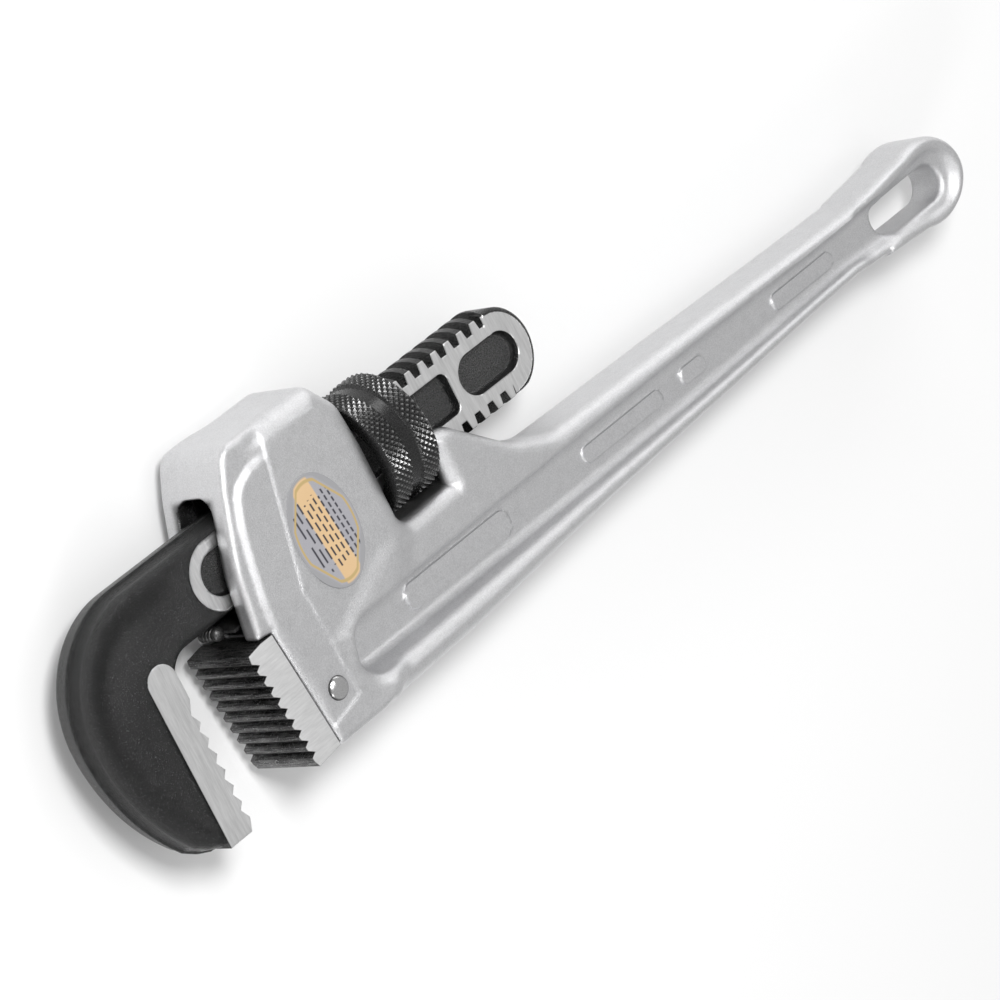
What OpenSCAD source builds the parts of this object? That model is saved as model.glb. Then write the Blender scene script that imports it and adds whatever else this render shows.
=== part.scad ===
// Pipe wrench: one aluminium casting (handle and housing), a sliding hook jaw,
// the knurled nut that drives it, a pinned heel jaw and the spring under the shank.
// The model is laid out about the nut's centre, on the shank's axis:
// +X from the jaws to the handle's end, +Y towards the housing's back, +Z across
// the tool. PLACE then moves the origin to the bottom centre of the whole tool.

/* [Jaws] */
// Distance from the nut's centre to the outer side of the hook
hook_reach = 116.5; // [114:0.5:119]
// Distance from the shank's axis to the jaw tips
jaw_drop = 57; // [56.5:0.5:59]
// Thickness of the hook jaw's forged body
hook_t = 13; // [12.5:0.5:14]
// Thickness of the toothed pad of the hook jaw
hook_pad_t = 15; // [14.5:0.5:17]
// Width of the heel jaw across the tool
heel_w = 24.9; // [24:0.1:25]

/* [Thread] */
// Lead of the single-start thread
lead = 5.08; // [5.08:0.01:5.1]
// Radius over the thread crests on the shank
crest_r = 12.8; // [12.6:0.1:12.8]
// Radius at the thread roots on the shank
root_r = 10.4; // [10.3:0.1:10.5]
// Thickness of the ground part of the shank
shank_t = 12; // [11.5:0.1:12]
// Clearance between the shank's thread and the nut's thread
thread_gap = 0.35; // [0.3:0.05:0.4]

/* [Nut] */
// Outer radius of the adjusting nut
nut_r = 17; // [16.8:0.1:17]
// Width of the adjusting nut
nut_w = 17; // [16:0.5:17]
// Depth of the smooth band between the knurled bands
band_depth = 1; // [0.5:0.1:1.2]

/* [Casting] */
// Thickness of the housing
housing_t = 28; // [26:0.5:28]
// Height of the housing's back above the shank's axis
housing_top = 27; // [26.5:0.5:28]
// Thickness of the casting beside the heel jaw
head_t = 25; // [25:0.1:26]
// Thickness of the handle
handle_t = 20; // [19:0.5:21]
// Distance from the nut's centre to the handle's end
handle_end = 220.5; // [218:0.5:224]
// Depth of the recess in each side of the handle
recess_depth = 6.3; // [5:0.1:7]
// Width of the channel that the shank runs in
channel_w = 13.8; // [13.8:0.1:14.2]

/* [Heel jaw pin] */
// Radius of the heel jaw pin's shank
pin_r = 2.4; // [2.2:0.1:2.5]
// Radius of the pin's peened heads
pin_head_r = 3.2; // [3:0.1:3.4]

/* [Hidden] */
$fn = 64;
eps = 0.02;

PLACE = [(hook_reach - handle_end) / 2, (jaw_drop - housing_top) / 2, nut_r];

steel = [0.72, 0.72, 0.73];
black = [0.16, 0.16, 0.17];
cast = [0.74, 0.75, 0.76];

// Thread form, measured along the axis
crest_w = 1.9;
root_w = 2.2;
thread_phase = 3.66;      // a groove's middle on the shank's top edge
thread_sides = 32;        // facets in one turn
shank_tail = 57;          // end of the shank
tail_start = 46.6;        // end of its thread
thread_start = -33;       // first groove on the shank

// Fixed stations along and across the tool
heel_seat_top = [-60.3, -18.4];
heel_seat_foot = [-57, -52];
pin_at = [-50.2, -40];
window = [-9.5, 10];      // the nut's window, along the shank
window_floor = -17.5;
throat_r = 6.5;
throat_at = [-79.5, -17.3];
pad_face = -88.4;         // tooth roots on the hook jaw
grip_mid = -37;           // middle of the handle, from the shank's axis
hole = [184, 212];        // ends of the hanging hole
hole_r = 5.2;
label_at = [-33, -5.5];
label_t = 0.25;
coil_at = [-66.6, -13.8];
coil_r = 1.35;
coil_wire = 1.1;

// ---------------------------------------------------------------- helpers

// Points of an arc about c, from angle a to angle b
function arc(c, r, a, b, n = 12) =
    [for (i = [0:n]) c + r * [cos(a + (b - a) * i / n), sin(a + (b - a) * i / n)]];

// Points of an elliptical arc about c with half-axes e
function oval(c, e, a, b, n = 16) =
    [for (i = [0:n]) c + [e[0] * cos(a + (b - a) * i / n), e[1] * sin(a + (b - a) * i / n)]];

// A plate of thickness t, centred on z = 0
module plate(t) {
    linear_extrude(t, center = true) children();
}

// A slot from x = a to x = b, with full round ends
module slot(a, b, r, y = 0) {
    for (x = [a + r, b - r])
        translate([x, y]) circle(r);
    translate([a + r, y - r]) square([b - a - 2 * r, 2 * r]);
}

// Points of the thread's surface: each turn step holds root, flank, crest and flank
function thread_ring(i, r0, r1, w0, w1) =
    let (phi = 360 * i / thread_sides, x = lead * i / thread_sides, flank = (lead - w0 - w1) / 2)
    [for (p = [[0, r0], [w0, r0], [w0 + flank, r1], [w0 + flank + w1, r1]])
        [x + p[0] - w0 / 2, p[1] * cos(phi), p[1] * sin(phi)]];

// A right-hand threaded bar along +X whose first groove starts at x = 0
module threaded_bar(turns, r0, r1, w0, w1) {
    n = turns * thread_sides;
    last = 4 * (n + 1);
    sides = thread_sides;
    points = concat(
        [for (i = [0:n]) each thread_ring(i, r0, r1, w0, w1)],
        [[lead / 2, 0, 0], [lead * (turns - 0.5), 0, 0]]);
    strips = [for (i = [0:n - 1]) for (j = [0:3])
        let (a = 4 * i + j, b = a + 4,
            open = j == 3,
            c = open ? 4 * (i + sides) : a + 1,
            d = open ? c + 4 : b + 1)
        if (!open || i + sides < n) each [[a, c, b], [b, c, d]]];
    start_loop = concat([for (j = [0:3]) j], [for (i = [sides:-1:1]) 4 * i]);
    end_loop = concat([for (i = [n - sides:n]) 4 * i + 3], [for (j = [2:-1:0]) 4 * n + j]);
    caps = concat(
        [for (k = [0:len(start_loop) - 1])
            [last, start_loop[(k + 1) % len(start_loop)], start_loop[k]]],
        [for (k = [0:len(end_loop) - 1])
            [last + 1, end_loop[(k + 1) % len(end_loop)], end_loop[k]]]);
    polyhedron(points, concat(strips, caps), convexity = 8);
}

// ---------------------------------------------------------------- hook jaw

// Outline of the hook jaw's forged body, up to the start of its thread
module hook_outline() {
    tooth_pitch = 4.52;
    tooth_depth = 1.5;
    polygon(concat(
        [[thread_start + 2, 12]],
        oval([-88, -18], [hook_reach - 88, 30], 90, 180),
        arc([55 - hook_reach, -18], 55, 180, 219),
        [[-100.5, -55.2], [-96, -jaw_drop], [pad_face, -jaw_drop]],
        [for (k = [6:-1:0]) each [
            [pad_face + tooth_depth, -26.4 - k * tooth_pitch],
            [pad_face, -23.6 - k * tooth_pitch]]],
        [[-86.5, -20]],
        arc(throat_at, throat_r, 180, 90),
        [[thread_start + 2, throat_at[1] + throat_r]]));
}

// Ground pad that carries the teeth
module hook_pad() {
    intersection() {
        hook_outline();
        union() {
            translate([-96, -jaw_drop]) square([9.6, jaw_drop - 12.8]);
            translate([-91.2, -12.8]) circle(4.8);
        }
    }
}

// Outline of the shank's threaded length
module thread_outline() {
    out = crest_r + 1;
    translate([thread_start + 1, -out]) square([tail_start - thread_start, 2 * out]);
}

// Plain round nose that ends the shank, a little under the thread crests
module tail_outline() {
    half = 11;
    run_in = 1.2;
    polygon(concat(
        oval([tail_start, 0], [shank_tail - tail_start, half], -90, 90),
        [[tail_start - run_in, half], [tail_start - run_in, -half]]));
}

// Area of the shank that is ground flat, with its round front end
module ground_area() {
    r = 9.3;
    x = -61.2;
    translate([x, 0]) circle(r);
    translate([x, -20]) square([60, 40]);
}

// Threaded length of the shank, run past its tail
module shank_thread() {
    turns = 21;
    first = lead * (round((thread_start - thread_phase) / lead) - 1);
    translate([thread_phase + first, 0, 0])
        threaded_bar(turns, root_r, crest_r, root_w, crest_w);
}

module hook_jaw() {
    web = 6;
    color(black) difference() {
        union() {
            difference() {
                plate(hook_t) hook_outline();
                for (side = [-1, 1])
                    translate([0, 0, side * (shank_t / 2 + 5)]) plate(10) ground_area();
            }
            plate(hook_pad_t) hook_pad();
            plate(shank_t) tail_outline();
            intersection() {
                plate(shank_t) thread_outline();
                shank_thread();
            }
        }
        for (side = [-1, 1])
            translate([0, 0, side * (web / 2 + 5)]) plate(10) {
                slot(-66.3, 27, 5.4);
                slot(31, 52, 5.3);
            }
    }
}

// ---------------------------------------------------------------- adjusting nut

module adjusting_nut() {
    groove_r = nut_r - band_depth;
    color([0.3, 0.3, 0.32]) difference() {
        rotate([0, 90, 0]) rotate_extrude()
            polygon([
                [0, -nut_w / 2], [nut_r - 0.6, -nut_w / 2], [nut_r, -nut_w / 2 + 0.6],
                [nut_r, -1.9], [groove_r, -1.6], [groove_r, 2], [nut_r, 2.3],
                [nut_r, nut_w / 2 - 0.6], [nut_r - 0.6, nut_w / 2], [0, nut_w / 2]]);
        translate([thread_phase - 4 * lead, 0, 0])
            threaded_bar(7, root_r + thread_gap, crest_r + thread_gap,
                root_w - 2 * thread_gap, crest_w + 2 * thread_gap);
    }
}

// ---------------------------------------------------------------- heel jaw

// Profile of the heel jaw: toothed face, top, seat and foot
module heel_outline() {
    teeth = 9;
    step = [0.346, -3.31];
    first = [-67.6, -22.7];
    polygon(concat(
        [heel_seat_foot, heel_seat_top, [-64.5, -18.4], [-69.3, -19.2], [-69.6, -21.3]],
        [for (k = [0:teeth - 1]) each [
            first + k * step,
            first + k * step + [-1.55, -0.9],
            first + k * step + [-1.35, -2.1]]],
        [[-65.4, -53]]));
}

module heel_jaw() {
    tongue_t = 7.6;
    color(steel) difference() {
        union() {
            plate(heel_w) heel_outline();
            plate(tongue_t) polygon([[-61, -22], [-45, -26], [-45, -46], [-58, -50]]);
        }
        translate([pin_at[0], pin_at[1], 0]) cylinder(r = pin_r, h = 30, center = true);
    }
}

module heel_jaw_pin() {
    half = head_t / 2;
    dome = 0.9;
    color([0.82, 0.82, 0.83]) translate([pin_at[0], pin_at[1], 0]) {
        cylinder(r = pin_r, h = 2 * half + eps, center = true);
        for (side = [0, 180]) rotate([side, 0, 0]) translate([0, 0, half])
            rotate_extrude() polygon(concat([[0, 0]], oval([0, 0], [pin_head_r, dome], 0, 90, 8)));
    }
}

// ---------------------------------------------------------------- casting

// Outline of the housing and head, from the heel jaw's seat to the nut's shoulder
module housing_outline() {
    polygon([
        [-56.9, -52.8], heel_seat_foot, heel_seat_top, [-64.6, -17.9], [-63.6, -10.8],
        [-61.6, -0.8], [-58.4, 9], [-54.6, 17.5], [-51.5, 23.5], [-46, housing_top],
        [-17, housing_top], [-13, 24.6], [-11.4, 21], [-10.2, 14], [window[0], 8],
        [window[0], window_floor], [window[0], -30], [-20, -49], [-30, -53]]);
}

// Outline of the handle with the ramp up to the shoulder behind the nut
module handle_outline() {
    polygon(concat(
        [[-45, -30], [-20, window_floor], [window[1], window_floor], [window[1], -4],
         [15, -4.4], [20, -6.3], [27, -12], [33, -17.2], [40, -21.8], [46, -23.9],
         [56, -23.9], [100, -25.6], [145, -27.1], [172, -27.7], [194, -26.6]],
        oval([206, -36.6], [handle_end - 206, 12.2], 90, -90),
        [[196, -47.6], [180, -45.5], [152, -45.4], [100, -47.6], [60, -49.3], [0, -52.2],
         [-30, -53], [-45, -53]]));
}

// Outline of the recess in the side of the handle
module recess_outline() {
    polygon(concat(
        arc([-32, -37.2], 6.4, 90, 270),
        [[60, -43.4], [100, -43], [165, -41.4], [175, -41.3]],
        [[175, -32], [165, -31.6], [100, -30.8], [60, -30.8]]));
}

// Channel for the shank: straight sides, round top corners and a floor that falls to the front
module shank_channel() {
    half = channel_w / 2;
    crown = 16.8;
    corner = 4.5;
    front_floor = heel_seat_top[1] - 0.3;
    intersection() {
        rotate([0, 90, 0]) translate([0, 0, -80]) linear_extrude(130) union() {
            translate([-half, -30]) square([channel_w, 30 + crown - corner]);
            translate([corner - half, -30]) square([channel_w - 2 * corner, 30 + crown]);
            for (side = [-1, 1])
                translate([side * (half - corner), crown - corner]) circle(corner);
        }
        plate(handle_t) polygon([
            [-70, 30], [-70, front_floor], [-60.5, front_floor],
            [window[0], -15.1], [window[1], -13.8], [50, -13.8], [50, 30]]);
    }
}

module handle_casting() {
    tongue_slot = 8;
    color(cast) difference() {
        union() {
            plate(housing_t) difference() {
                housing_outline();
                translate([-80, -60]) square([40, 40]);
            }
            plate(head_t) housing_outline();
            plate(handle_t) handle_outline();
        }
        shank_channel();
        for (side = [-1, 1])
            translate([0, 0, side * (handle_t / 2 - recess_depth + 10)])
                plate(20) recess_outline();
        plate(handle_t + 2) slot(hole[0], hole[1], hole_r, y = grip_mid - 0.5);
        plate(tongue_slot) polygon([[-70, -19.4], [-44.6, -25.7], [-44.6, -46.2], [-70, -54]]);
        translate([pin_at[0], pin_at[1], 0]) cylinder(r = pin_r, h = 40, center = true);
    }
}

// ---------------------------------------------------------------- spring and label

module flat_spring() {
    t = 0.8;
    top = [[-18, -13.3], [-52, -13.3], [-60, -13.9], [-64.2, -14.3]];
    color([0.35, 0.35, 0.36]) plate(9.6)
        polygon(concat(top, [for (k = [3:-1:0]) top[k] - [0, t]]));
}

module coil_spring() {
    turns = 4;
    pitch = 1.3;
    sides = 8;
    steps = 20;
    n = turns * steps;
    points = [for (i = [0:n]) each
        let (a = 360 * i / steps, out = [cos(a), sin(a), 0],
            middle = coil_r * out - [0, 0, pitch * i / steps])
        [for (j = [0:sides - 1]) let (b = 360 * j / sides)
            middle + coil_wire / 2 * (cos(b) * out + [0, 0, sin(b)])]];
    faces = concat(
        [[for (j = [sides - 1:-1:0]) j]],
        [[for (j = [0:sides - 1]) n * sides + j]],
        [for (i = [0:n - 1]) for (j = [0:sides - 1])
            let (k = (j + 1) % sides)
            [i * sides + j, i * sides + k, (i + 1) * sides + k, (i + 1) * sides + j]]);
    color([0.25, 0.25, 0.26]) translate([coil_at[0], coil_at[1], 0])
        polyhedron(points, faces, convexity = 6);
}

module spring_rivet() {
    color([0.3, 0.3, 0.31]) translate([coil_at[0], coil_at[1], 0]) {
        translate([0, 0, -5.6]) cylinder(r = 0.7, h = 6.6);
        translate([0, 0, 0.9]) rotate_extrude()
            polygon(concat([[0, 0]], oval([0, 0], [1.9, 1.5], 0, 90, 8)));
    }
}

// Oval label stuck to the side of the housing
module label() {
    color([0.93, 0.83, 0.62]) translate([label_at[0], label_at[1], (housing_t + label_t) / 2])
        plate(label_t) polygon(oval([0, 0], [10.5, 15.3], 0, 345, 23));
}

translate(PLACE) {
    handle_casting();
    heel_jaw();
    heel_jaw_pin();
    hook_jaw();
    adjusting_nut();
    flat_spring();
    coil_spring();
    spring_rivet();
    label();
}
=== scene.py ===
"""Looks of the pipe wrench: cast handle, forged hook jaw, knurled nut, heel jaw, pin, spring and label.

Shapes are worked out in millimetres about the nut's centre, on the shank's axis: +x from the jaws
to the handle's end, +y towards the housing's back, +z across the tool. The cast and forged bodies
are distance fields, which take fillets and draft easily, meshed by dual contouring.
"""
import math

import bmesh
import bpy
import numpy as np
from mathutils import Matrix, Vector


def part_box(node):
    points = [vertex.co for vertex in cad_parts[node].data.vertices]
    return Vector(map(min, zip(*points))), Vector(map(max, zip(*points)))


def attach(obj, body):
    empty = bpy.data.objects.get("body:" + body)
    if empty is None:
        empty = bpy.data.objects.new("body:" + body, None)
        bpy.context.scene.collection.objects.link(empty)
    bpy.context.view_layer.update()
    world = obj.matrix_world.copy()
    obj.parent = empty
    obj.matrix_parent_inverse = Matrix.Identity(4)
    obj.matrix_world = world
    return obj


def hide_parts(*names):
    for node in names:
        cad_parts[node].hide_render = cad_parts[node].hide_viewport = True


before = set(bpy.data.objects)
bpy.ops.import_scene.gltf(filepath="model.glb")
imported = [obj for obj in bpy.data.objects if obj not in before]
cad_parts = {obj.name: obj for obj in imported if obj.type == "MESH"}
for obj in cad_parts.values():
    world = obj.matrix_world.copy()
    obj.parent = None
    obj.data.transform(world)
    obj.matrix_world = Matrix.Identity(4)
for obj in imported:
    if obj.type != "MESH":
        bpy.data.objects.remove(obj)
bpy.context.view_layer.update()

MM = 0.001
NUT_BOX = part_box("adjusting_nut")
NUT_CENTRE = (NUT_BOX[0] + NUT_BOX[1]) / 2
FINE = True


# ---------------------------------------------------------------- camera, light and floor

def make_camera():
    """The camera looks down on the tool from beyond the jaws, turned so the handle rises to the right."""
    camera = bpy.data.objects.new("camera", bpy.data.cameras.new("camera"))
    bpy.context.scene.collection.objects.link(camera)
    camera.data.lens = 180
    camera.data.sensor_width = 36
    camera.data.clip_end = 20
    right = Vector((0.63245, -0.42628, 0.64676))
    up = Vector((0.51052, 0.85734, 0.06584))
    back = right.cross(up)
    turn = Matrix((right, up, back)).transposed().to_4x4()
    camera.matrix_world = Matrix.Translation(NUT_CENTRE + Vector((-0.7133, 0.3349, 0.9692))) @ turn
    bpy.context.scene.camera = camera


def area_light(name, towards, distance, size, power):
    """A soft box light on the given side of the tool, aimed at its head."""
    light = bpy.data.lights.new(name, "AREA")
    light.shape = "RECTANGLE"
    light.size, light.size_y = size
    light.energy = power
    piece = bpy.data.objects.new(name, light)
    bpy.context.scene.collection.objects.link(piece)
    direction = Vector(towards).normalized()
    piece.location = NUT_CENTRE + direction * distance
    piece.rotation_euler = direction.to_track_quat("Z", "Y").to_euler()


def make_studio():
    """Pale floor, even white surroundings and soft lights. The plain view transform keeps white
    white and the oxide black."""
    bpy.context.scene.view_settings.view_transform = "Standard"
    world = bpy.data.worlds.new("studio")
    bpy.context.scene.world = world
    world.use_nodes = True
    sky = world.node_tree.nodes["Background"]
    sky.inputs["Color"].default_value = (1, 1, 1, 1)
    sky.inputs["Strength"].default_value = 0.6
    area_light("key", (-0.28, 0.42, 0.86), 1.3, (0.4, 0.3), 13)
    area_light("back", (0.6, 0.75, 0.3), 1.2, (0.9, 0.25), 3)
    area_light("side", (-0.75, -0.55, 0.4), 1.2, (0.35, 0.35), 3)

    reach = 6.0
    mesh = bpy.data.meshes.new("floor")
    mesh.from_pydata([(-reach, -reach, 0), (reach, -reach, 0), (reach, reach, 0), (-reach, reach, 0)],
                     [], [(0, 1, 2, 3)])
    floor = bpy.data.objects.new("floor", mesh)
    bpy.context.scene.collection.objects.link(floor)
    material = bpy.data.materials.new("floor")
    material.use_nodes = True
    shader = material.node_tree.nodes["Principled BSDF"]
    shader.inputs["Base Color"].default_value = (0.8, 0.8, 0.8, 1)
    shader.inputs["Roughness"].default_value = 0.85
    mesh.materials.append(material)


# ---------------------------------------------------------------- distance fields

def fillet_corners(points):
    """Closed outline from (x, y, radius) corners, each turned into an arc of that radius."""
    outline = []
    count = len(points)
    for i, (x, y, radius) in enumerate(points):
        here = np.array([x, y], float)
        before = np.array(points[i - 1][:2], float) - here
        after = np.array(points[(i + 1) % count][:2], float) - here
        if radius == 0:
            outline.append(here)
            continue
        u, v = before / np.linalg.norm(before), after / np.linalg.norm(after)
        half = math.acos(np.clip(u @ v, -1, 1)) / 2
        run = min(radius / math.tan(half), 0.48 * min(np.linalg.norm(before), np.linalg.norm(after)))
        start, end = here + u * run, here + v * run
        steps = 8
        for k in range(steps + 1):
            t = k / steps
            outline.append((1 - t) ** 2 * start + 2 * t * (1 - t) * here + t * t * end)
    return np.array(outline)


class Outline:
    """Signed distance to a closed outline, kept on a fine grid and read back between its points."""

    def __init__(self, points, margin=14.0, step=0.25):
        points = np.asarray(points, float)
        self.step = step
        self.low = points.min(0) - margin
        size = np.ceil((points.max(0) + margin - self.low) / step).astype(int) + 1
        x = (self.low[0] + step * np.arange(size[0]))[:, None]
        y = (self.low[1] + step * np.arange(size[1]))[None, :]
        nearest = np.full(size, 1e9)
        inside = np.zeros(size, bool)
        for a, b in zip(points, np.roll(points, -1, 0)):
            edge = b - a
            wx, wy = x - a[0], y - a[1]
            t = np.clip((wx * edge[0] + wy * edge[1]) / (edge @ edge + 1e-12), 0, 1)
            nearest = np.minimum(nearest, (wx - edge[0] * t) ** 2 + (wy - edge[1] * t) ** 2)
            if a[1] != b[1]:
                crosses = (a[1] > y) != (b[1] > y)
                inside ^= crosses & (x < edge[0] * (y - a[1]) / edge[1] + a[0])
        self.grid = np.sqrt(nearest) * np.where(inside, -1, 1)

    def __call__(self, x, y):
        u = np.clip((x - self.low[0]) / self.step, 0, self.grid.shape[0] - 1.001)
        v = np.clip((y - self.low[1]) / self.step, 0, self.grid.shape[1] - 1.001)
        u, v = np.broadcast_arrays(u, v)
        i, j = u.astype(int), v.astype(int)
        s, t = u - i, v - j
        g = self.grid
        return ((g[i, j] * (1 - s) + g[i + 1, j] * s) * (1 - t)
                + (g[i, j + 1] * (1 - s) + g[i + 1, j + 1] * s) * t)


def union(a, b, radius=0.0):
    """Join of two fields, with a fillet of that radius between them."""
    corner = np.hypot(np.maximum(radius - a, 0), np.maximum(radius - b, 0))
    return np.maximum(radius, np.minimum(a, b)) - corner


def common(a, b, radius=0.0):
    """Overlap of two fields, with a rounded edge of that radius."""
    corner = np.hypot(np.maximum(radius + a, 0), np.maximum(radius + b, 0))
    return np.minimum(-radius, np.maximum(a, b)) + corner


def cut(a, b, radius=0.0):
    """Field a with field b taken away, with a rounded edge."""
    return common(a, -b, radius)


def slot_field(x, y, start, end, radius, mid=0.0):
    """Distance to a slot along x with full round ends."""
    return np.hypot(x - np.clip(x, start + radius, end - radius), y - mid) - radius


def ramp(value, start, end):
    """Smooth step from 0 at start to 1 at end."""
    t = np.clip((value - start) / (end - start), 0, 1)
    return t * t * (3 - 2 * t)


EDGE_AXES = ((0, 1, 2), (1, 2, 0), (2, 0, 1))


def contour(field, low, high, step):
    """Closed mesh of the field's zero surface: one point in each cell that it crosses, placed to
    suit the surface's tangent planes, so that flats stay flat and edges stay sharp."""
    low, high = np.asarray(low, float), np.asarray(high, float)
    size = np.ceil((high - low) / step).astype(int) + 1
    x, y, z = (low[k] + step * np.arange(size[k]) for k in range(3))
    values = field(x[:, None, None], y[None, :, None], z[None, None, :])
    values = np.broadcast_to(values, size)
    solid = values < 0

    cells = np.prod(size)
    stride = np.array([size[1] * size[2], size[2], 1])
    hits, quads = [], []
    for a, b, c in EDGE_AXES:
        near = [slice(None)] * 3
        far = [slice(None)] * 3
        near[a], far[a] = slice(0, -1), slice(1, None)
        near, far = tuple(near), tuple(far)
        index = np.argwhere(solid[near] != solid[far])
        if not len(index):
            continue
        v0 = values[near][tuple(index.T)]
        v1 = values[far][tuple(index.T)]
        start = low + index * step
        lo_t, hi_t, lo_v, hi_v = np.zeros(len(v0)), np.ones(len(v0)), v0.copy(), v1.copy()
        for _ in range(4):
            t = np.clip(lo_v / (lo_v - hi_v + 1e-30), 0.02, 0.98)
            t = lo_t + (hi_t - lo_t) * t
            point = start.copy()
            point[:, a] += t * step
            v = field(*point.T)
            same = (v < 0) == (lo_v < 0)
            lo_t, lo_v = np.where(same, t, lo_t), np.where(same, v, lo_v)
            hi_t, hi_v = np.where(same, hi_t, t), np.where(same, hi_v, v)
        t = lo_t + (hi_t - lo_t) * np.clip(lo_v / (lo_v - hi_v + 1e-30), 0, 1)
        point = start.copy()
        point[:, a] += t * step
        normal = np.empty_like(point)
        for k in range(3):
            nudge = np.zeros(3)
            nudge[k] = 0.02
            normal[:, k] = field(*(point + nudge).T) - field(*(point - nudge).T)
        normal /= np.linalg.norm(normal, axis=1, keepdims=True) + 1e-12
        ring = []
        for db, dc in ((0, 0), (-1, 0), (-1, -1), (0, -1)):
            cell = index.copy()
            cell[:, b] += db
            cell[:, c] += dc
            ring.append(cell @ stride)
        hits.append((np.stack(ring, 1), point, normal))
        quad = np.stack(ring, 1)
        quad[v0 >= 0] = quad[v0 >= 0][:, ::-1]
        quads.append(quad)

    quads = np.concatenate(quads)
    used, quads = np.unique(quads, return_inverse=True)
    quads = quads.reshape(-1, 4)
    lookup = np.full(cells, -1)
    lookup[used] = np.arange(len(used))
    owner = np.concatenate([lookup[r].ravel() for r, _, _ in hits])
    point = np.concatenate([np.repeat(p, 4, 0) for _, p, _ in hits])
    normal = np.concatenate([np.repeat(n, 4, 0) for _, _, n in hits])

    def gather(weights):
        return np.bincount(owner, weights, len(used))

    count = gather(np.ones(len(owner)))
    middle = np.stack([gather(point[:, k]) for k in range(3)], 1) / count[:, None]
    offset = point - middle[owner]
    matrix = np.empty((len(used), 3, 3))
    vector = np.empty((len(used), 3))
    reach = (normal * offset).sum(1)
    for i in range(3):
        vector[:, i] = gather(normal[:, i] * reach)
        for j in range(3):
            matrix[:, i, j] = gather(normal[:, i] * normal[:, j])
    hold = 0.06
    matrix += np.eye(3) * hold
    shift = np.linalg.solve(matrix, vector[..., None])[..., 0]
    corner = np.stack(np.unravel_index(used, size), 1) * step + low
    place = np.clip(middle + shift, corner, corner + step)
    return place, quads


# ---------------------------------------------------------------- meshes

def make_mesh(name, points, faces, sharp=35.0):
    """A mesh object from points in millimetres about the nut's centre."""
    points = np.asarray(points, float) * MM + np.array(NUT_CENTRE)
    mesh = bpy.data.meshes.new(name)
    if isinstance(faces, np.ndarray):
        mesh.vertices.add(len(points))
        mesh.vertices.foreach_set("co", points.astype(np.float32).ravel())
        mesh.loops.add(faces.size)
        mesh.loops.foreach_set("vertex_index", faces.astype(np.int32).ravel())
        mesh.polygons.add(len(faces))
        mesh.polygons.foreach_set("loop_start", np.arange(0, faces.size, faces.shape[1], dtype=np.int32))
        mesh.update(calc_edges=True)
        mesh.validate()
    else:
        mesh.from_pydata([tuple(p) for p in points], [], faces)
    mesh.polygons.foreach_set("use_smooth", np.ones(len(mesh.polygons), bool))
    mesh.set_sharp_from_angle(angle=math.radians(sharp))
    piece = bpy.data.objects.new(name, mesh)
    bpy.context.scene.collection.objects.link(piece)
    return piece


def store(piece, name, values):
    """Keeps one number at each point of a piece, for its material."""
    layer = piece.data.attributes.new(name, "FLOAT", "POINT")
    layer.data.foreach_set("value", np.asarray(values, np.float32))


def rest_points(piece):
    """A piece's points, in millimetres about the nut's centre."""
    co = np.empty(len(piece.data.vertices) * 3, np.float32)
    piece.data.vertices.foreach_get("co", co)
    return (co.reshape(-1, 3) - np.array(NUT_CENTRE)) / MM


def finish_piece(piece, body, slot, material, *nodes):
    """Gives a piece its material and its body, and hides the CAD nodes that it stands for; its slot is not
    used.
    """
    piece.data.materials.clear()
    piece.data.materials.append(material)
    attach(piece, body)
    if nodes:
        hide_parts(*nodes)


# ---------------------------------------------------------------- the tool's measures

LEAD = 5.08
THREAD_PHASE = 3.66
ROOT_R, CREST_R = 10.4, 12.8
ROOT_HALF, FLANK = 1.1, 0.49
HOUSING_HALF = 14.0
HEEL_HALF = 12.45
PIN_AT = (-50.2, -40.0)
LABEL_AT = (-33.0, -5.5)
LABEL_HALF = (10.5, 15.3)
GRIP_MID = -37.5
SHANK_HALF, WEB_HALF, PAD_HALF = 6.0, 6.4, 7.5
NUT_R, NUT_HALF, NUT_SHOULDER_R, NUT_FACE_R, NUT_BORE_R = 17.0, 8.5, 16.3, 13.2, 12.4
COIL_AT = (-66.6, -13.8)


def thread_radius(x, angle, root, crest, root_half):
    """Radius of the helical thread's profile at a station x and an angle from +y towards +z."""
    along = (x - THREAD_PHASE - LEAD * angle / (2 * math.pi)) / LEAD
    off_groove = np.abs(along - np.round(along)) * LEAD
    return root + (crest - root) * np.clip((off_groove - root_half) / FLANK, 0, 1)


def arc(cx, cy, rx, ry, start, end, steps=12):
    """Points of an elliptical arc about (cx, cy), angles in degrees."""
    angles = np.radians(np.linspace(start, end, steps + 1))
    return [(cx + rx * math.cos(a), cy + ry * math.sin(a)) for a in angles]


# ---------------------------------------------------------------- aluminium casting

def front_edge(y):
    """Where the housing's front face runs, at height y."""
    return np.interp(y, [-18, -11, -1, 9, 17.5, 23.5, 27], [-64.6, -63.6, -61.6, -58.4, -54.6, -51.5, -46])


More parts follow.
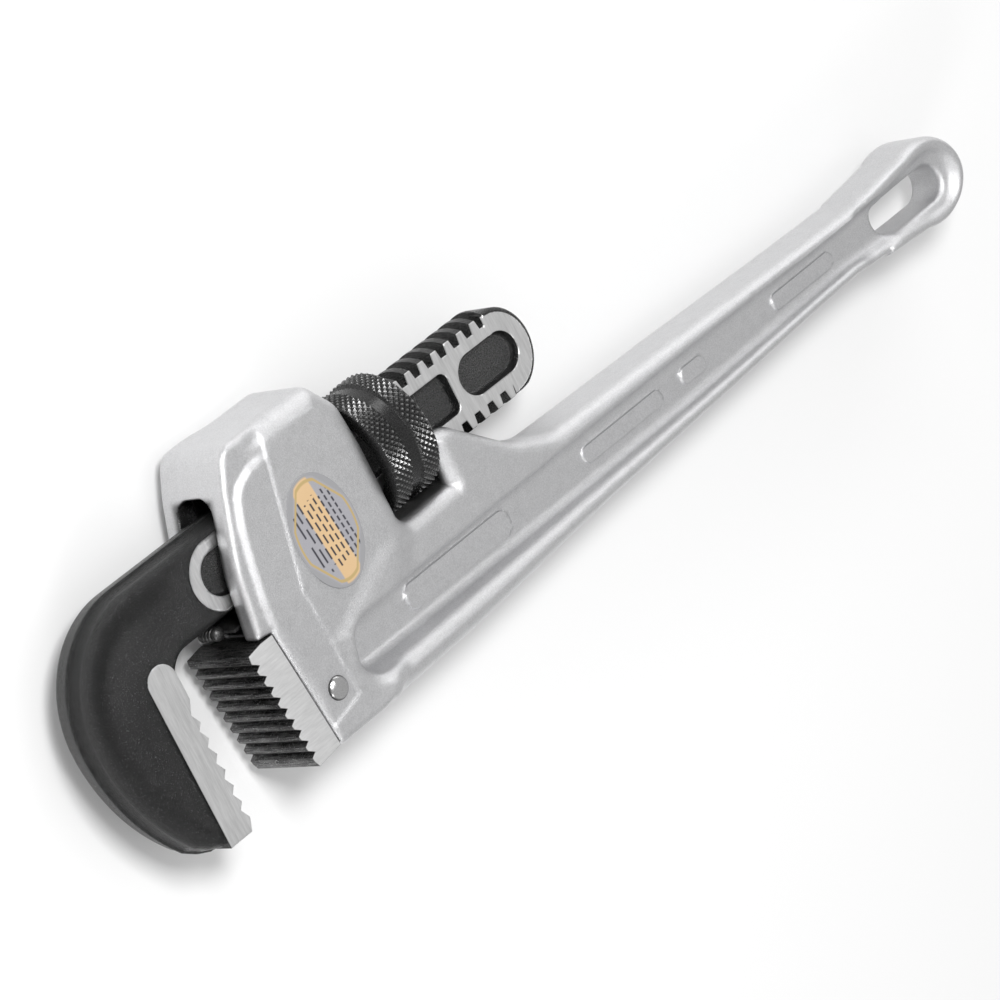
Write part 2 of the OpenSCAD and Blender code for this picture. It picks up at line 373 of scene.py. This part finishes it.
HOUSING = Outline(fillet_corners([
    (-56.7, -52.6, 1.5), (-60.05, -18.2, 0), (-64.6, -17.9, 1), (-61.6, -0.8, 40), (-54.6, 17.5, 30),
    (-49.5, 27, 6), (-17, 27, 5), (-10.6, 18, 8), (-9.5, 6, 10), (-9.5, -19, 9), (-22, -36, 14),
    (-36, -52.6, 10)]))
HANDLE = Outline(np.concatenate([
    fillet_corners([(-45, -30, 0), (-20, -17.5, 0), (10, -17.5, 0), (10, -3.9, 1.5), (17, -4.2, 12),
                    (34, -19, 16), (47, -24.4, 14), (100, -25.6, 0), (145, -27.1, 0), (168, -27.7, 0),
                    (183, -27.8, 14)]),
    arc(205.7, -36.6, 14.8, 12.2, 118, -112, 40),
    fillet_corners([(187, -46, 16), (168, -45.1, 0), (152, -45.4, 0), (100, -47.6, 0), (60, -49.3, 0),
                    (0, -52.2, 0), (-35, -53, 0)])]))
RECESS = Outline(fillet_corners([
    (-38.5, -30.8, 6.2), (100, -30.8, 0), (168, -31.9, 0), (190, -31.9, 0), (190, -42.6, 0),
    (168, -41.6, 0), (100, -43.2, 0), (60, -43.5, 0), (-38.5, -43.6, 6.2)]))
PANEL = Outline([
    (-62, -17.5), (-60.3, -17), (-59.7, -10), (-57.7, 0), (-55.7, 8), (-52.8, 15), (-50, 18), (-45, 20),
    (-38, 20.5), (20, 20.5), (20, -80), (-80, -80), (-80, -17.5)])
RAISED_PADS = ((-14, 27, 3.6), (57, 90, 2.3), (98, 108, 2.3), (138, 165, 2.3))


def cheek_height(x, y):
    """Half thickness of the housing: a draft towards the feet, and a flat panel by the heel jaw
    with a broad slope in front of it and a low step behind it."""
    panel_back = np.interp(y, [-43, -17, -14.5, 20.5, 27], [-45, -46.5, -47, -38, -36])
    panel_foot = np.interp(x, [-58, -45], [-48, -45])
    in_panel = ramp(panel_back - x, 0, 0.8) * ramp(y - panel_foot, 0, 0.8)
    before = ramp(PANEL(x, y), -2.3, 0.2) * ramp(-x, 36, 45)
    return HOUSING_HALF - 1.2 * ramp(-y, 10, 46) - 0.3 * in_panel - 0.95 * before


def channel(x, y, z):
    """The shank's channel: flat sides, a round crown and a floor that falls to the front."""
    half, crown = 6.9, 16.8
    wall = common(np.abs(z) - half, y - crown, 4.5)
    floor = np.interp(x, [-61, -60, -9.5, 10, 50], [-18.7, -18.2, -15.1, -13.8, -13.8])
    return common(common(wall, floor - y, 1.5), x - 55)


def casting(x, y, z):
    """Housing and I-section handle, with the nut's window, the shank's channel, the recesses in
    both sides with their raised pads, and the hanging hole in its dish."""
    depth = np.abs(z)
    edge_r = 1.7 + 4.3 * ramp(x - front_edge(y), 3, 14) * ramp(y, -50, -30)
    housing = common(HOUSING(x, y), depth - cheek_height(x, y), edge_r)
    grip = common(HANDLE(x, y), depth - 10.0 - 2.6 * ramp(-x, -70, 28), 4.6)
    body = union(housing, grip, 4.0)
    body = cut(body, common(np.abs(x - 0.25) - 9.75, -17.5 - y, 3.0), 0.8)
    body = cut(body, channel(x, y, z), 0.9)
    recess = common(RECESS(x, y) - 0.22 * (depth - 3.7), 3.7 - depth, 2.2)
    body = cut(body, common(recess, x - 186, 2), 1.1 + 2.2 * ramp(-y, 35, 40))
    eye = np.hypot(x - np.clip(x, 178, 207.5), y - GRIP_MID) - 5.4 - 2.4 * ramp(x, 180, 208)
    body = cut(body, common(eye - 0.5 * (depth - 6), 6.2 - depth, 2.0), 2.6)
    body = cut(body, slot_field(x, y, 184, 212, 5.2, GRIP_MID), 1.6)
    for start, end, half in RAISED_PADS:
        pad = common(slot_field(x, y, start, end, half, -37.1), depth - 4.35, 0.3)
        body = union(body, common(pad, 2 - depth), 0.3)
    return body


# ---------------------------------------------------------------- hook jaw

TOOTH_PITCH = 4.52
TEETH = [(x, y - k * TOOTH_PITCH) for k in range(7)[::-1] for x, y in ((-86.9, -26.4), (-88.4, -23.6))]
FORGING = Outline(
    [(-30, 12), (-60, 12)] + arc(-88, -18, 28.5, 30, 90, 180, 24)
    + arc(-61.5, -18, 55, 55, 180, 219, 20) + [(-100.6, -55.2), (-97, -56.8), (-92, -56.9), (-91, -24)]
    + arc(-79.5, -17.3, 6.5, 6.5, 190, 90, 20) + [(-30, -10.8)], step=0.2)
PAD = Outline(
    [(-95.8, -56.8), (-88.4, -56.8)] + TEETH + [(-86.5, -20), (-86.5, -12.8)]
    + arc(-91.15, -12.8, 4.65, 4.65, 0, 180, 16), step=0.1)
THREAD_END = 46.6


def tail(x, y):
    """Distance to the round nose at the end of the shank."""
    length, half = 11.3, 12.0
    return (np.hypot(np.maximum(x - THREAD_END, 0) / length, y / half) - 1) * length


def ring(x, y):
    """Distance to the shank's raised side: a round front end that widens a little behind."""
    behind = np.abs(y) - 9.3 - 0.9 * ramp(x, -60, -45)
    return np.where(x > -61.2, behind, np.hypot(x + 61.2, y) - 9.3)


def pockets(x, y):
    """Distance to the two pockets in the shank's side, the first with a square far end."""
    far = common(np.abs(y) - 5.4, x - 27, 2.0)
    first = np.where(x < -20, slot_field(x, y, -66.3, 40, 5.4), far)
    return np.minimum(first, slot_field(x, y, 31, 52, 5.3))


def ground_zone(x, y):
    """Distance to the part of the shank's side that is ground bright."""
    crests = np.maximum(np.abs(y) - 11.6, -31.6 - x)
    zone = np.minimum(ring(x, y), crests)
    return np.maximum(zone, np.where(x > THREAD_END, tail(x, y) + 1.2, -1))


def hook(x, y, z):
    """The forging: a dished web with a thin parting line, a raised toothed pad with a mound at its
    head, the threaded shank with its nose, and the pockets."""
    depth = np.abs(z)
    outline = FORGING(x, y)
    around = ring(x, y)
    dish = 1.7 * ramp(-outline, 2.4, 10) * ramp(around, 0.5, 9) * ramp(-x, 64, 74)
    mound = 0.7 * (1 - ramp(np.hypot(x + 91.5, y + 12), 4.5, 15))
    relief = 0.4 * (1 - ramp(around, -0.3, 0.3))
    side = depth - WEB_HALF + dish * (1 - mound) + relief - mound
    body = common(outline + 0.4 + 0.12 * depth, side, 1.8)
    body = union(body, common(outline, depth - 0.45, 0.2), 0.3)
    body = union(body, common(PAD(x, y), depth - PAD_HALF, 0.3), 0.4)
    turns = np.hypot(y, z) - thread_radius(x, np.arctan2(z, y), ROOT_R, CREST_R, ROOT_HALF)
    thread = common(turns * 0.8, np.maximum(-32 - x, x - THREAD_END), 0.3)
    thread = common(thread, depth - SHANK_HALF, 0.25)
    nose = common(common(tail(x, y), depth - SHANK_HALF, 1.2), np.hypot(y, z) - 12.6, 0.5)
    nose = common(nose, THREAD_END - 1.2 - x)
    body = union(union(body, thread), nose, 0.3)
    pocket = common(pockets(x, y) - 0.12 * (depth - 3), 3 - depth, 0.8)
    return cut(body, pocket, 0.4)


# ---------------------------------------------------------------- turned and bent pieces

def lathe(profile, segments, place):
    """Surface turned from (radius, height) points, closed at its axis; place maps (u, v, h)."""
    points, faces = [], []
    for radius, height in profile:
        for k in range(segments):
            a = 2 * math.pi * k / segments
            points.append(place(radius * math.cos(a), radius * math.sin(a), height))
    rows = len(profile)
    for i in range(rows - 1):
        for k in range(segments):
            n = (k + 1) % segments
            faces.append((i * segments + k, i * segments + n,
                          (i + 1) * segments + n, (i + 1) * segments + k))
    faces.append(tuple(range(segments))[::-1])
    faces.append(tuple(range((rows - 1) * segments, rows * segments)))
    return points, faces


def nut_mesh():
    """Adjusting nut: two bands of diamond knurl, a smooth groove between them and a threaded bore.
    Each station is (x, radius); a radius of None is knurled and one below zero is threaded."""
    round_count, per_diamond, pitch, depth = 54, 8, 1.9, 0.62
    columns = round_count * per_diamond
    fine = pitch / per_diamond
    half = NUT_HALF
    stations = [(-half, NUT_BORE_R), (-half, NUT_FACE_R), (-half, 15.6), (-half + 0.25, NUT_SHOULDER_R)]
    stations += [(x, None) for x in np.arange(-half + 0.6, -2.1, fine)]
    stations += [(-1.9, NUT_SHOULDER_R), (-1.6, 16.0), (0, 15.95), (1.9, 16.0), (2.3, NUT_SHOULDER_R)]
    stations += [(x, None) for x in np.arange(2.5, half - 0.5, fine)]
    stations += [(half - 0.25, NUT_SHOULDER_R), (half, 15.6), (half, NUT_FACE_R), (half, NUT_BORE_R)]
    bore = [(x, -1.0) for x in np.linspace(half - 0.5, 0.5 - half, 56)]
    angle = 2 * np.pi * np.arange(columns) / columns
    rings = []
    for x, radius in stations + bore:
        if radius is None:
            u = angle * round_count / (2 * np.pi) + x / pitch
            v = angle * round_count / (2 * np.pi) - x / pitch
            groove = np.minimum(np.abs(u - np.round(u)), np.abs(v - np.round(v)))
            ring = NUT_R - depth * (1 - np.clip(groove / 0.45, 0, 1))
        elif radius < 0:
            ring = thread_radius(x, angle, ROOT_R + 0.35, CREST_R + 0.35, ROOT_HALF - 0.35)
        else:
            ring = np.full(columns, radius)
        rings.append(np.stack([np.full(columns, x), ring * np.cos(angle), ring * np.sin(angle)], 1))
    count = len(rings)
    i, k = np.meshgrid(np.arange(count), np.arange(columns), indexing="ij")
    a, b = i * columns, ((i + 1) % count) * columns
    n = (k + 1) % columns
    faces = np.stack([a + k, a + n, b + n, b + k], -1).reshape(-1, 4)
    return np.concatenate(rings), faces


def plate_mesh(name, outline, half, bevel, sharp=30.0, mid=0.0):
    """A flat piece cut to an outline, with its edges broken."""
    count = len(outline)
    points = [(x, y, mid + side * half) for side in (-1, 1) for x, y in outline]
    faces = [tuple(range(count)), tuple(range(count, 2 * count))[::-1]]
    faces += [(k, k + count, (k + 1) % count + count, (k + 1) % count) for k in range(count)]
    piece = make_mesh(name, points, faces, sharp)
    shape = bmesh.new()
    shape.from_mesh(piece.data)
    bmesh.ops.recalc_face_normals(shape, faces=shape.faces)
    bmesh.ops.bevel(shape, geom=shape.edges[:], offset=bevel * MM, segments=2, profile=0.6,
                    affect="EDGES", clamp_overlap=True)
    shape.to_mesh(piece.data)
    shape.free()
    piece.data.polygons.foreach_set("use_smooth", np.ones(len(piece.data.polygons), bool))
    piece.data.set_sharp_from_angle(angle=math.radians(sharp))
    return piece


def tube_mesh(path, radius, sides=14):
    """A round wire along a path of points in space, with rounded ends."""
    path = np.asarray(path, float)
    ahead = np.gradient(path, axis=0)
    ahead /= np.linalg.norm(ahead, axis=1, keepdims=True)
    side = np.cross(ahead, (0, 0, 1.0))
    side /= np.linalg.norm(side, axis=1, keepdims=True)
    up = np.cross(side, ahead)
    swell = np.ones(len(path))
    swell[0] = swell[-1] = 0.35
    points = []
    for p, s, u, w in zip(path, side, up, swell):
        for k in range(sides):
            a = 2 * math.pi * k / sides
            points.append(p + radius * w * (math.cos(a) * s + math.sin(a) * u))
    faces = []
    for i in range(len(path) - 1):
        for k in range(sides):
            n = (k + 1) % sides
            faces.append((i * sides + k, i * sides + n, (i + 1) * sides + n, (i + 1) * sides + k))
    faces.append(tuple(range(sides))[::-1])
    faces.append(tuple(range((len(path) - 1) * sides, len(path) * sides)))
    return points, faces


# ---------------------------------------------------------------- materials

class Nodes:
    """Short hand for building one material's node tree."""

    def __init__(self, name):
        self.material = bpy.data.materials.new(name)
        self.material.use_nodes = True
        self.tree = self.material.node_tree
        self.shader = self.tree.nodes["Principled BSDF"]

    def add(self, kind, settings=None, **inputs):
        node = self.tree.nodes.new(kind)
        for key, value in (settings or {}).items():
            setattr(node, key, value)
        for key, value in inputs.items():
            socket = node.inputs[int(key[1:])] if key[0] == "i" and key[1:].isdigit() else node.inputs[key]
            if isinstance(value, bpy.types.NodeSocket):
                self.tree.links.new(value, socket)
            else:
                socket.default_value = value
        return node.outputs[0]

    def math(self, operation, a, b=0.0):
        return self.add("ShaderNodeMath", {"operation": operation}, i0=a, i1=b)

    def place(self, stretch=(1, 1, 1)):
        """The object's own coordinates in millimetres, stretched for streaks."""
        source = self.tree.nodes.new("ShaderNodeTexCoord").outputs["Object"]
        scale = tuple(1000 * s for s in stretch)
        return self.add("ShaderNodeMapping", Vector=source, Scale=scale)

    def noise(self, scale, detail=4.0, rough=0.6, stretch=(1, 1, 1)):
        return self.add("ShaderNodeTexNoise", None, Vector=self.place(stretch), Scale=scale,
                        Detail=detail, Roughness=rough)

    def spread(self, value, low, high, to_low=0.0, to_high=1.0):
        return self.add("ShaderNodeMapRange", None, i0=value, i1=low, i2=high, i3=to_low, i4=to_high)

    def mix(self, factor, a, b):
        node = self.tree.nodes.new("ShaderNodeMix")
        node.data_type = "RGBA"
        for index, value in ((0, factor), (6, a), (7, b)):
            if isinstance(value, bpy.types.NodeSocket):
                self.tree.links.new(value, node.inputs[index])
            else:
                node.inputs[index].default_value = value
        return node.outputs[2]

    def blend(self, factor, a, b):
        """Mix of two numbers."""
        node = self.tree.nodes.new("ShaderNodeMix")
        for index, value in ((0, factor), (2, a), (3, b)):
            if isinstance(value, bpy.types.NodeSocket):
                self.tree.links.new(value, node.inputs[index])
            else:
                node.inputs[index].default_value = value
        return node.outputs[0]

    def attribute(self, name):
        node = self.tree.nodes.new("ShaderNodeAttribute")
        node.attribute_name = name
        return node.outputs["Fac"]

    def bump(self, height, distance, strength=1.0):
        return self.add("ShaderNodeBump", None, Height=height, Distance=distance * MM, Strength=strength)

    def set(self, **inputs):
        names = {"color": "Base Color", "rough": "Roughness", "metal": "Metallic", "normal": "Normal",
                 "coat": "Coat Weight", "specular": "Specular IOR Level"}
        for key, value in inputs.items():
            socket = self.shader.inputs[names[key]]
            if isinstance(value, bpy.types.NodeSocket):
                self.tree.links.new(value, socket)
            else:
                socket.default_value = value
        return self.material


def grey(value, tint=0.0):
    return (value, value, value + tint, 1)


def cast_aluminium():
    """Blasted aluminium: a fine even grain over a faint mottling, with filing marks on the mouth's face."""
    n = Nodes("cast_aluminium")
    grain = n.noise(2.6, 4.0, 0.75)
    mottle = n.noise(0.35, 4.0, 0.6)
    filing = n.noise(1.0, 3.0, 0.6, (0.25, 0.35, 5.0))
    face = n.attribute("filed")
    # Darkening inside the channel and the nut's window: partly grease, partly painted shade in these
    # hollows.
    grease_and_shade = n.math("MULTIPLY", n.attribute("grease_and_shade"), n.spread(mottle, 0.3, 0.6, 0.75, 1.0))
    shade = n.mix(n.spread(mottle, 0.3, 0.7), grey(0.54, 0.008), grey(0.60, 0.008))
    shade = n.mix(n.spread(grain, 0.4, 0.75), shade, grey(0.75, 0.01))
    shade = n.mix(grease_and_shade, shade, grey(0.03))
    height = n.blend(face, grain, n.blend(0.6, grain, filing))
    satin = n.spread(grain, 0.3, 0.7, 0.34, 0.46)
    return n.set(color=shade, metal=0.92, rough=n.blend(grease_and_shade, satin, 0.25),
                 normal=n.bump(height, 0.16, 0.75))


def brushed(n, stretch, low, high):
    """Colour of ground steel with streaks."""
    streaks = n.noise(1.0, 3.0, 0.65, stretch)
    return streaks, n.mix(n.spread(streaks, 0.3, 0.7), grey(low), grey(high))


def forging():
    """Black oxide forging whose ground faces are bright, with lighter flecks that are partly pitting and
    partly painted sparkle.
    """
    n = Nodes("black_forging")
    scale = n.noise(1.3, 5.0, 0.75)
    pits_and_sparkle = n.noise(3.2, 3.0, 0.7)
    streaks, bright = brushed(n, (1.2, 0.12, 1.2), 0.62, 0.8)
    ground = n.spread(n.attribute("ground"), 0.06, -0.06)
    black = n.mix(n.spread(scale, 0.4, 0.7), grey(0.004), grey(0.016))
    # Lighter flecks: partly pitting in the oxide, partly painted sparkle.
    black = n.mix(n.spread(pits_and_sparkle, 0.6, 0.75), black, grey(0.12))
    black = n.mix(n.attribute("pocket"), black, n.mix(n.spread(pits_and_sparkle, 0.4, 0.65), grey(0.015), grey(0.09)))
    rough_skin = n.math("ADD", scale, n.math("MULTIPLY", pits_and_sparkle, 0.6))
    height = n.blend(ground, rough_skin, n.math("MULTIPLY", streaks, 0.25))
    return n.set(color=n.mix(ground, black, bright), metal=n.blend(ground, 0.15, 0.95),
                 rough=n.blend(ground, n.spread(scale, 0.3, 0.7, 0.14, 0.27), 0.36),
                 specular=n.blend(ground, 0.5, 0.5), normal=n.bump(height, 0.42, 0.9))


def jaw_steel():
    """Machined steel: bright ground sides, darker toothed face with marks along the teeth."""
    n = Nodes("jaw_steel")
    streaks, bright = brushed(n, (0.2, 1.5, 1.5), 0.8, 0.95)
    specks = n.noise(2.2, 4.0, 0.7)
    along = n.noise(1.0, 4.0, 0.65, (2.2, 2.2, 0.16))
    dark = n.mix(n.spread(along, 0.4, 0.7), grey(0.02), grey(0.2))
    dark = n.mix(n.spread(specks, 0.55, 0.7), dark, grey(0.45))
    side = n.attribute("side")
    return n.set(color=n.mix(side, dark, bright), metal=0.95, rough=n.blend(side, 0.42, 0.34),
                 normal=n.bump(n.blend(side, along, n.math("MULTIPLY", streaks, 0.3)), 0.08, 0.5))


def nut_steel():
    """Dark oiled steel, worn a little brighter on the knurl's tips."""
    n = Nodes("nut_steel")
    fine = n.noise(3.0, 4.0, 0.65)
    worn = n.math("MULTIPLY", n.attribute("tip"), n.spread(n.noise(0.5, 3.0), 0.35, 0.65, 0.35, 1.0))
    dark = n.mix(n.spread(fine, 0.3, 0.7), grey(0.02), grey(0.07))
    return n.set(color=n.mix(worn, dark, grey(0.38)), metal=0.9,
                 rough=n.spread(fine, 0.3, 0.7, 0.2, 0.32), normal=n.bump(fine, 0.06, 0.5))


def pin_steel():
    """Peened bright steel with small hammer facets, and a dark ring of painted shade round each head's
    edge.
    """
    n = Nodes("pin_steel")
    dents = n.add("ShaderNodeTexVoronoi", {"feature": "SMOOTH_F1"}, Vector=n.place(), Scale=0.6)
    fine = n.noise(3.0, 3.0, 0.6)
    height = n.math("ADD", dents, n.math("MULTIPLY", fine, 0.2))
    shade = n.mix(fine, grey(0.4), grey(0.65))
    # Painted shade: a dark ring round the edge of each head, where it meets the cheek.
    return n.set(color=n.mix(n.attribute("painted_shade_rim"), shade, grey(0.05)), metal=1.0, rough=0.22,
                 normal=n.bump(height, 0.3, 0.6))


def spring_steel():
    """Dark oiled spring steel."""
    n = Nodes("spring_steel")
    fine = n.noise(2.0, 4.0, 0.65)
    return n.set(color=n.mix(n.spread(fine, 0.3, 0.7), grey(0.03), grey(0.12)), metal=0.8,
                 rough=n.spread(fine, 0.3, 0.7, 0.28, 0.5), normal=n.bump(fine, 0.06, 0.5))


def label_film():
    """Printed film: a thin gold border, a silver ground, a cream band and plain lines in place of words."""
    n = Nodes("label_film")
    fine = n.noise(2.5, 3.0, 0.6)
    silver = n.mix(fine, (0.30, 0.295, 0.32, 1), (0.38, 0.375, 0.4, 1))
    cream = n.mix(n.noise(0.12, 3.0), (0.62, 0.42, 0.22, 1), (0.66, 0.47, 0.27, 1))
    colour = n.mix(n.attribute("band"), silver, cream)
    colour = n.mix(n.attribute("line"), colour, (0.03, 0.03, 0.04, 1))
    colour = n.mix(n.attribute("border"), colour, (0.46, 0.34, 0.15, 1))
    colour = n.mix(n.attribute("film"), colour, grey(0.3, 0.01))
    return n.set(color=colour, metal=0.2, rough=0.42, coat=0.3, normal=n.bump(fine, 0.02, 0.3))


# ---------------------------------------------------------------- pieces

def make_casting():
    """Handle and housing; its mouth's face is filed, and its channel and the nut's window are darkened,
    partly as grease and partly as painted shade.
    """
    step = 0.7 if FINE else 1.1
    points, faces = contour(casting, (-67, -55, -15), (223, 29.5, 15), step)
    piece = make_mesh("casting", points, faces, 60)
    p = rest_points(piece)
    filed = 1 - ramp(p[:, 0] - front_edge(p[:, 1]), 0.6, 1.6)
    store(piece, "filed", filed * ramp(p[:, 1], -20, -10))
    # Darkening inside the channel and the nut's window: partly grease, partly painted shade in these
    # hollows.
    inner = 1 - ramp(np.abs(p[:, 2]), 6.6, 9.5)
    store(piece, "grease_and_shade", inner * ramp(p[:, 1], -21, -15) * (1 - ramp(p[:, 1], 15.5, 17.5)))
    finish_piece(piece, "handle_body", "cast_aluminium", cast_aluminium(), "handle_casting")


def make_hook():
    """Hook jaw; below zero, the number kept as ground means bright ground steel."""
    step = 0.46 if FINE else 0.8
    points, faces = contour(hook, (-118, -58.5, -8.5), (59, 14, 8.5), step)
    piece = make_mesh("hook_forging", points, faces, 40)
    x, y, z = rest_points(piece).T
    depth = np.abs(z)
    shank = np.maximum(ground_zone(x, y), SHANK_HALF - 0.2 - depth)
    pad = np.maximum(np.where(x < -85, PAD(x, y), 9), PAD_HALF - 0.4 - depth)
    teeth = np.maximum(-x - 89.2, y + 21.5)
    teeth = np.maximum(teeth, x + 85)
    store(piece, "ground", np.minimum(np.minimum(shank, pad), teeth))
    store(piece, "pocket", ramp(3.6 - depth, 0, 0.3) * ramp(-pockets(x, y), 0, 0.5))
    finish_piece(piece, "hook_body", "black_forging", forging(), "hook_jaw")


def make_nut():
    """Adjusting nut; the tips of its knurl are kept for the wear on them."""
    points, faces = nut_mesh()
    piece = make_mesh("knurled_nut", points, faces, 25)
    p = rest_points(piece)
    radius = np.hypot(p[:, 1], p[:, 2])
    store(piece, "tip", np.clip((radius - NUT_R + 0.3) / 0.3, 0, 1))
    finish_piece(piece, "nut_body", "nut_steel", nut_steel(), "adjusting_nut")


def make_heel_jaw():
    """Heel jaw: a block whose teeth are nine equal steps down its front."""
    first, step = np.array([-67.6, -22.7]), np.array([0.346, -3.31])
    outline = [(-57.0, -52), (-60.3, -18.45), (-64.5, -18.45), (-69.3, -19.2), (-69.6, -21.3)]
    for k in range(9):
        gullet = first + k * step
        outline += [tuple(gullet), tuple(gullet + (-1.55, -0.9)), tuple(gullet + (-1.35, -2.1))]
    outline += [(-65.4, -53)]
    piece = plate_mesh("heel_jaw_block", outline[::-1], HEEL_HALF, 0.16)
    depth = np.abs(rest_points(piece)[:, 2])
    store(piece, "side", np.clip((depth - HEEL_HALF + 0.05) / 0.04, 0, 1))
    finish_piece(piece, "handle_body", "jaw_steel", jaw_steel(), "heel_jaw")


def make_pin():
    """Heel jaw's pin, with a domed head on each side of the housing."""
    half, dome, head = 12.4, 1.5, 3.2
    cap = [(head * math.cos(a), half + dome * math.sin(a)) for a in np.linspace(0.0, 1.45, 8)]
    profile = [(r, -h) for r, h in cap[::-1]] + [(2.4, -half), (2.4, half)] + cap
    points, faces = lathe(profile, 40, lambda u, v, h: (PIN_AT[0] + u, PIN_AT[1] + v, h))
    piece = make_mesh("pin_steel_rod", points, faces, 50)
    x, y, _ = rest_points(piece).T
    # Painted shade: the ring round each head's edge, kept for the material.
    store(piece, "painted_shade_rim", ramp(np.hypot(x - PIN_AT[0], y - PIN_AT[1]), 2.6, 3.1))
    finish_piece(piece, "handle_body", "pin_steel", pin_steel(), "heel_jaw_pin")


def make_spring():
    """Flat spring, the coil at its front end and the stud through the coil."""
    leaf = [(-18, -13.3), (-52, -13.3), (-60, -13.9), (-64.2, -14.3)]
    outline = leaf + [(x, y - 0.8) for x, y in leaf[::-1]]
    piece = plate_mesh("spring_leaf", outline, 4.8, 0.12)
    finish_piece(piece, "spring_carrier", "spring_steel", spring_steel(), "flat_spring")

    turns, pitch, coil_r = 4, 1.3, 1.35
    at_x, at_y = COIL_AT
    angles = np.linspace(0, 2 * np.pi * turns, 28 * turns + 1)
    path = np.stack([at_x + coil_r * np.cos(angles), at_y + coil_r * np.sin(angles),
                     -pitch * angles / (2 * np.pi)], 1)
    piece = make_mesh("spring_coil", *tube_mesh(path, 0.55), 50)
    finish_piece(piece, "spring_carrier", "spring_steel", spring_steel(), "coil_spring")

    dome = [(1.9 * math.cos(a), 0.9 + 1.5 * math.sin(a)) for a in np.linspace(0.0, 1.5, 9)]
    profile = [(0.7, -5.6), (0.7, 0.9), (1.75, 0.85)] + dome
    points, faces = lathe(profile, 32, lambda u, v, h: (at_x + u, at_y + v, h))
    piece = make_mesh("spring_stud", points, faces, 40)
    finish_piece(piece, "spring_carrier", "spring_steel", spring_steel(), "spring_rivet")


def make_label():
    """An oval film built as rings, so that its print can be kept as numbers at its points."""
    rings, columns = 90, 280
    points, faces = [], []
    for i in range(rings + 1):
        share = i / rings
        lift = 14.24 if i < rings else 14.02
        for k in range(columns):
            a = 2 * math.pi * k / columns
            points.append((LABEL_AT[0] + LABEL_HALF[0] * share * math.cos(a),
                           LABEL_AT[1] + LABEL_HALF[1] * share * math.sin(a), lift))
    for i in range(rings):
        for k in range(columns):
            n = (k + 1) % columns
            faces.append((i * columns + k, (i + 1) * columns + k, (i + 1) * columns + n, i * columns + n))
    piece = make_mesh("label_film", points, faces, 50)
    x, y, _ = rest_points(piece).T
    u, v = (x - LABEL_AT[0]) / LABEL_HALF[0], (y - LABEL_AT[1]) / LABEL_HALF[1]
    eight_sided = np.maximum(np.maximum(np.abs(u), np.abs(v)), (np.abs(u) + np.abs(v)) / 1.28)
    out = np.maximum(eight_sided, np.hypot(u, v))
    across = u * 0.97 + v * 0.16
    store(piece, "border", 1 - np.clip((np.abs(out - 0.88) - 0.02) / 0.015, 0, 1))
    store(piece, "film", np.clip((out - 0.93) / 0.03, 0, 1))
    store(piece, "band", np.clip((0.3 - np.abs(across)) / 0.03, 0, 1))
    row = np.round(across / 0.15)
    dash = np.sin(v * (31 + 5 * row) + 2 * row) > -0.6
    inked = dash & (np.abs(v + 0.05 * np.sin(4 * row)) < 0.6) & (np.abs(across) < 0.7)
    thin = np.clip((0.035 - np.abs(across - 0.15 * row)) / 0.02, 0, 1)
    store(piece, "line", thin * inked)
    finish_piece(piece, "handle_body", "label_film", label_film(), "label")


make_casting()
make_hook()
make_nut()
make_heel_jaw()
make_pin()
make_spring()
make_label()
make_studio()
make_camera()
